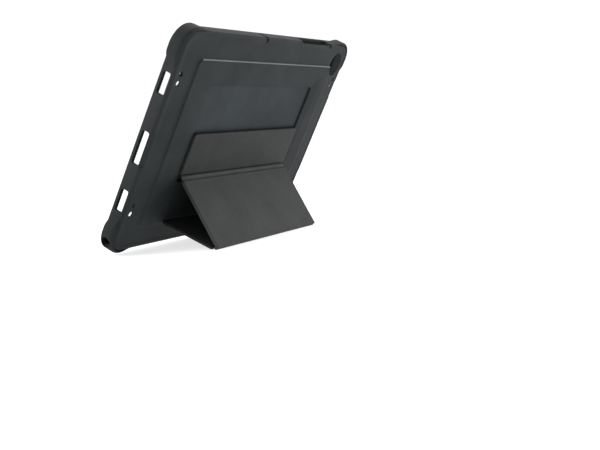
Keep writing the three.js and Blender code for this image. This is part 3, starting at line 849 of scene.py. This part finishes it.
def build_pad(name, sign_x, sign_y):
    turn = math.atan2(sign_y * math.sin(PAD_TURN), sign_x * math.cos(PAD_TURN))
    place = CASE @ Matrix.Translation((sign_x * PAD_X, PAD_TOP_Y if sign_y > 0 else PAD_BOTTOM_Y, 0))
    place = place @ Matrix.Rotation(turn, 4, "Z")

    def ring(inset, z):
        return [(x, y, z) for x, y in pad_outline(inset)]

    base_low = FLOOR_Z + 0.5
    base = [ring(-0.4, base_low), ring(-0.6, base_low + 0.1), ring(-0.6, base_low + 0.4),
            ring(-0.45, base_low + 0.58), ring(0.2, base_low + 0.62)]
    piece = loft(f"pad_{name}_base", base, place, sharp=50)
    finish_piece(piece, "pad_base", "case", f"pad_base_{name}")

    low = base_low + 0.66
    high = low + 0.85
    rings = [ring(0.3, low), ring(0.0, low + 0.12), ring(0.0, high - 0.45)]
    for angle in quarter(4):
        rings.append(ring(0.5 * (1 - math.cos(angle)), high - 0.45 + 0.45 * math.sin(angle)))
    emboss = ((2.4, 0), (2.6, -0.12), (2.9, -0.14), (3.1, 0), (3.4, 0.22), (3.8, 0.27), (6.2, 0.27),
              (6.4, 0.12), (6.8, 0.1), (7.0, 0.27), (7.6, 0.27))
    rings += [ring(inset, high + rise) for inset, rise in emboss]
    cap = loft(f"pad_{name}_cap", rings, place, sharp=50)
    finish_piece(cap, "pad_cap", "case", f"pad_cap_{name}")


def build_centre_plate():
    outline = Outline(even(4), even(4), 8)
    rings = rounded_plate_rings(outline, 25.0, 22.75, 4.0, FLOOR_Z + 0.05, FLOOR_Z + 1.05, 0.3)
    middle = 5.25
    plate = loft("centre_plate_moulding", [shift(ring, y=middle) for ring in rings], CASE, sharp=50)
    finish_piece(plate, "centre_plate", "case", "centre_plate")


# ---------------------------------------------------------------- stand
PANEL_CORNER = 1.6


def panel_rings(y0, y1, low, high, toe, groove):
    """A leather-covered panel: face up, pressed border line, rounded edge, and an open pocket below.

    toe draws the face's far end out past the pocket's, and groove is the depth of the border line.
    """
    outline = Outline(even(24), even(10), 6)

    def ring(inset, z):
        end = y1 + toe * (z - low) / (high - low)
        flat = outline.ring(PANEL_WIDTH / 2 - inset, (end - y0) / 2 - inset, max(PANEL_CORNER - inset, 0.25), z)
        return shift(flat, y=(y0 + end) / 2)

    rings = []
    for inset, z in ((6, high), (3.7, high), (3.35, high - groove / 4), (3.1, high - groove),
                     (2.85, high - groove / 4), (2.5, high), (1.2, high - 0.01)):
        rings.append(ring(inset, z))
    edge = 0.75
    for angle in quarter(5):
        rings.append(ring(edge * (1 - math.sin(angle)), high - edge * (1 - math.cos(angle))))
    for angle in reversed(quarter(4)):
        rings.append(ring(0.5 * (1 - math.sin(angle)), low + 0.5 * (1 - math.cos(angle))))
    rings.append(ring(PANEL_EDGE, low + 0.02))
    rings.append(ring(PANEL_EDGE + 0.02, high - PANEL_SKIN))
    return rings


def build_panel(prefix, body, place, y0, y1, low, high, toe=0.0, look="leather", groove=0.08):
    cover = loft(f"{prefix}_cover_skin", panel_rings(y0, y1, low, high, toe, groove), place, sharp=42)
    cover.data.materials.append(LOOKS[look])
    finish_piece(cover, "leather", body, f"{prefix}_cover")
    inset = PANEL_EDGE + 0.2
    outline = Outline(even(20), even(8), 4)
    rings = rounded_plate_rings(outline, PANEL_WIDTH / 2 - inset, (y1 - y0) / 2 - inset, 0.8, low + 0.03,
                                low + 0.45, 0.18, 3)
    middle = (y0 + y1) / 2
    lining = loft(f"{prefix}_lining_sheet", [shift(ring, y=middle) for ring in rings], place, sharp=50)
    finish_piece(lining, "lining", body, f"{prefix}_lining")


def extrude_x(name, outline, half, place):
    """A section given as (y, z) points, drawn out along x with softened ends."""
    section = np.array(outline, float)
    centre = section.mean(axis=0)
    rings = []
    soft, shrink = 0.25, 0.8
    stations = [(-half, shrink), (-half + soft, 1.0)]
    stations += [(-half + soft + 2 * (half - soft) * t, 1.0) for t in (0.1, 0.25, 0.5, 0.75, 0.9)]
    stations += [(half - soft, 1.0), (half, shrink)]
    for x, size in stations:
        scaled = centre + (section - centre) * size
        rings.append([(x, y, z) for y, z in scaled])
    return loft(name, rings, place, sharp=45)


def build_stand():
    turned = CASE @ Matrix.Rotation(math.pi, 4, "Y")
    # The fixed panel takes the darker copy of the stand's leather, painted shade.
    build_panel("fixed_panel", "case", turned, FIXED_BOTTOM, FIXED_TOP, FIXED_LOW, FIXED_HIGH,
                look="painted_shade_panel_leather", groove=0.0)

    low = PANEL_LIFT - LEG_HINGE_HEIGHT
    build_panel("leg", "leg", LEG, LEG_START, LEG_LENGTH - 1.7, low, low + PANEL_THICK, LEG_TOE)
    # The base takes the near-black copy of the stand's leather, painted shade.
    build_panel("base", "base_panel", BASE, 2.7, BASE_LENGTH - 0.2, PANEL_LIFT, PANEL_LIFT + PANEL_THICK,
                look="painted_shade_base_leather")

    ridge = [(-0.5, -0.3), (0.1, -0.2), (0.5, 0.24), (0.8, 0.38), (1.2, 0.44), (1.6, 0.46), (2.0, 0.44),
             (2.4, 0.38), (2.7, 0.2), (3.1, -0.3), (3.7, -0.4), (3.65, -0.42), (3.2, -0.5), (0.0, -0.5),
             (-0.45, -0.42)]
    strip = extrude_x("spine_fold_strip", ridge, PANEL_WIDTH / 2 - 0.6, SPINE)
    finish_piece(strip, "leather", "spine", "spine_strip")

    foot_z = -LEG_HINGE_HEIGHT
    fold = [(LEG_LENGTH - 1.5, low + 0.3), (LEG_LENGTH - 0.9, low + 0.85), (LEG_LENGTH + 0.2, low + 1.55)]
    for i in range(12):
        angle = math.radians(40 - i * 21)
        fold.append((LEG_LENGTH + FOOT_RADIUS * math.cos(angle), foot_z + FOOT_RADIUS * math.sin(angle)))
    piece = extrude_x("foot_fold_skin", fold, PANEL_WIDTH / 2 - 0.4, LEG)
    finish_piece(piece, "leather", "leg", "foot_hinge")


# ---------------------------------------------------------------- carried-over CAD nodes
CARRIED = {
    "board": ("fixed_panel_board", "leg_board", "base_board"),
    "tape": ("mounting_tape",),
    "steel": ("keeper_plate_left", "keeper_plate_right", "tip_magnet_left", "tip_magnet_right"),
}


def dress_cad_nodes():
    for look, names in CARRIED.items():
        for name in names:
            node = frame["nodes"][name]
            node.data.materials.clear()
            node.data.materials.append(LOOKS[look])


# ---------------------------------------------------------------- studio
CAMERA_PLACE = Vector((0.68207, 0.39451, 0.09392))
CAMERA_AIM = Vector((0.00748, 0.05463, 0.01022))
CAMERA_ROLL = math.radians(2.0084)
CAMERA_LENS = 60.695


def build_camera():
    data = bpy.data.cameras.new("camera")
    data.lens = CAMERA_LENS
    data.sensor_width = 36.0
    data.clip_start = 0.01
    camera = bpy.data.objects.new("camera", data)
    bpy.context.scene.collection.objects.link(camera)
    look = (CAMERA_AIM - CAMERA_PLACE).normalized()
    turn = look.to_track_quat("-Z", "Y").to_matrix().to_4x4()
    camera.matrix_world = Matrix.Translation(CAMERA_PLACE) @ turn @ Matrix.Rotation(-CAMERA_ROLL, 4, "Z")
    bpy.context.scene.camera = camera


def area_light(name, place, aim, size, power):
    data = bpy.data.lights.new(name, "AREA")
    data.shape = "RECTANGLE"
    data.size, data.size_y = size
    data.energy = power
    light = bpy.data.objects.new(name, data)
    light.location = place
    light.rotation_euler = (Vector(aim) - Vector(place)).to_track_quat("-Z", "Y").to_euler()
    bpy.context.scene.collection.objects.link(light)


FLOOR_REACH, FLOOR_GREY, FLOOR_GLOW, WORLD_STRENGTH = 80.0, 0.5, 0.72, 1.03


def build_studio():
    mesh = bpy.data.meshes.new("studio_floor")
    corners = [(x * FLOOR_REACH, y * FLOOR_REACH, 0) for x, y in ((-1, -1), (1, -1), (1, 1), (-1, 1))]
    mesh.from_pydata(corners, [], [(0, 1, 2, 3)])
    floor = bpy.data.objects.new("studio_floor", mesh)
    bpy.context.scene.collection.objects.link(floor)
    made, nodes = material("studio_white")[:2]
    shader = nodes["Principled BSDF"]
    shader.inputs["Base Color"].default_value = (FLOOR_GREY, FLOOR_GREY, FLOOR_GREY, 1)
    shader.inputs["Roughness"].default_value = 0.9
    shader.inputs["Emission Color"].default_value = (1, 1, 1, 1)
    shader.inputs["Emission Strength"].default_value = FLOOR_GLOW
    mesh.materials.append(made)

    build_world()
    area_light("key", (-0.5, 0.1, 1.1), (0, 0, 0.08), (0.7, 0.7), 6)
    area_light("right", (-0.75, 0.65, 0.35), (-0.05, 0.05, 0.06), (0.35, 0.5), 4)
    area_light("side", (1.0, -0.5, 0.6), (0.12, 0, 0.12), (0.45, 0.45), 7)


def build_world():
    """White all round, falling to grey towards the side that the back of the case faces."""
    world = bpy.data.worlds.new("studio_world")
    world.use_nodes = True
    nodes, links = world.node_tree.nodes, world.node_tree.links
    place = nodes.new("ShaderNodeTexCoord")
    parts = nodes.new("ShaderNodeSeparateXYZ")
    links.new(place.outputs["Generated"], parts.inputs["Vector"])
    shade = ramp(nodes, links, parts.outputs["Y"], ((0.15, (1, 1, 1, 1)), (0.5, (0.15, 0.15, 0.15, 1))))
    links.new(shade.outputs["Color"], nodes["Background"].inputs["Color"])
    nodes["Background"].inputs["Strength"].default_value = WORLD_STRENGTH
    bpy.context.scene.world = world


# ---------------------------------------------------------------- everything
build_camera()
build_studio()
build_shell()
for corner_name, corner_x, corner_y in CORNERS:
    build_bumper(corner_name, corner_x, corner_y)
    build_corner_strip(corner_name, corner_x, corner_y)
    build_pad(corner_name, corner_x, corner_y)
build_ring()
build_centre_plate()
build_stand()
dress_cad_nodes()
bpy.context.scene.view_settings.view_transform = "Standard"
